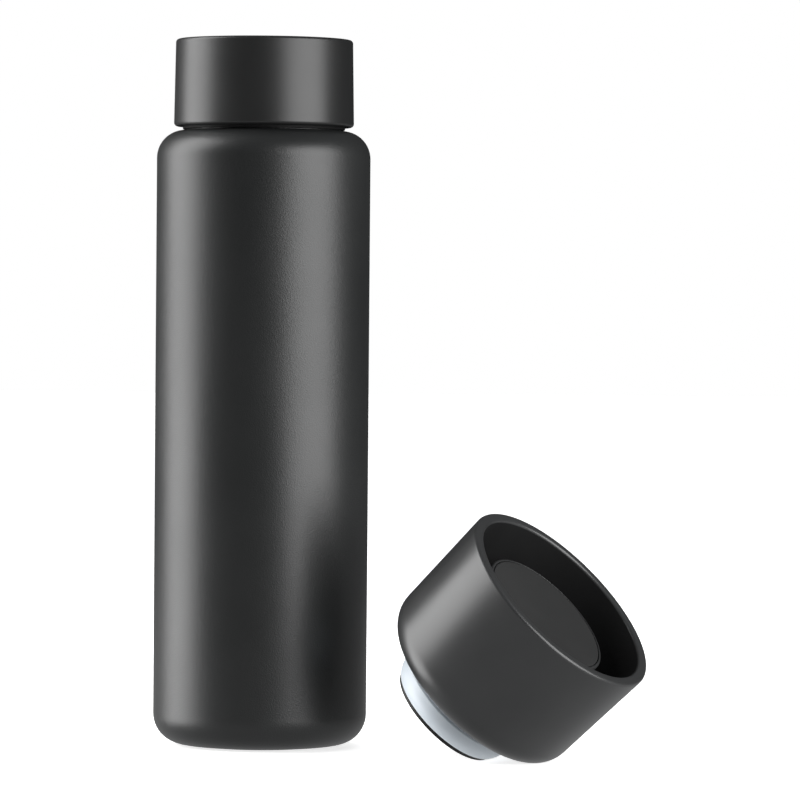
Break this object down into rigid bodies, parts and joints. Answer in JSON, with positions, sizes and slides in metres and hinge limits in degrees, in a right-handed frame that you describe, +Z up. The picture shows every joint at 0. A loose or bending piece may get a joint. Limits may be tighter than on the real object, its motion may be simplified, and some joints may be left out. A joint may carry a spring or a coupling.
{
  "type": "vacuum flask",
  "caption": "Tall round double-wall vacuum flask with a screw cap on its neck and a separate push-button drinking lid leaning on the table beside it.",
  "frame": {"origin": "centre of the flask's base pad, on the plane of the table", "axes": "+Z up along the flask's axis; the loose drinking lid lies towards +X and -Y, its bowl facing +X, -Y and up"},
  "size_m": [0.1595, 0.1297, 0.2314],
  "materials": {
    "powder_coat": "fine-grained satin black powder coat on stainless steel",
    "steel": "bare stainless steel, lightly brushed by drawing and turning",
    "copper": "thin copper foil, plain",
    "black_plastic": "smooth satin black moulded plastic",
    "inner_plastic": "dull black moulded plastic",
    "grey_pad": "matt dark grey soft-touch plastic",
    "white_silicone": "translucent white silicone, faintly blue",
    "black_rubber": "matt black silicone",
    "foam": "closed-cell insulating foam"
  },
  "bodies": {
    "flask": {"outer_shell": "powder_coat", "outer_base": "steel", "base_pad": "black_rubber", "vacuum_port_plug": "steel", "getter_capsule": "steel", "inner_liner": "steel", "liner_bottom": "steel", "radiation_shield": "copper", "neck_collar": "black_plastic"},
    "cap_seal": {"cap_gasket": "white_silicone"},
    "cap": {"cap_shell": "black_plastic", "cap_core": "inner_plastic", "cap_foam": "foam"},
    "drinking_lid": {"lid_shell": "black_plastic", "lid_insert": "inner_plastic", "plug_body": "inner_plastic", "main_seal": "white_silicone", "latch_sleeve": "inner_plastic", "return_spring": "steel"},
    "button": {"button_cap": "inner_plastic", "button_pad": "grey_pad", "stem": "steel", "valve_plate": "inner_plastic", "valve_seal": "black_rubber", "valve_screw": "steel"},
    "latch": {"latch_rotor": "inner_plastic"}
  },
  "joints": [
    {"name": "cap_lift", "type": "slide", "parent": "flask", "child": "cap_seal", "axis": [0, 0, 1], "range_m": [0, 0.06]},
    {"name": "cap_turn", "type": "hinge", "parent": "cap_seal", "child": "cap", "pos_m": [0, 0, 0.2155], "axis": [0, 0, 1], "range_deg": [0, 2700]},
    {"name": "drinking_lid_slide", "type": "slide", "parent": "flask", "child": "drinking_lid", "axis": [1, 0, 0], "range_m": [0, 0.12]},
    {"name": "button_press", "type": "slide", "parent": "drinking_lid", "child": "button", "axis": [-0.6456, 0.3404, -0.6836], "range_m": [0, 0.003], "stiffness_N_per_m": 400, "springref_m": -0.005, "deforming": ["return_spring"]},
    {"name": "latch_turn", "type": "hinge", "parent": "button", "child": "latch", "pos_m": [0.0682, -0.0458, 0.02193], "axis": [0.6456, -0.3404, 0.6836], "range_deg": [0, 45]}
  ],
  "couplings": [
    {"joint": "cap_lift", "follows": "cap_turn", "m_per_rad": 0.0012732},
    {"joint": "latch_turn", "follows": "button_press", "rad_per_m": 261.7}
  ]
}
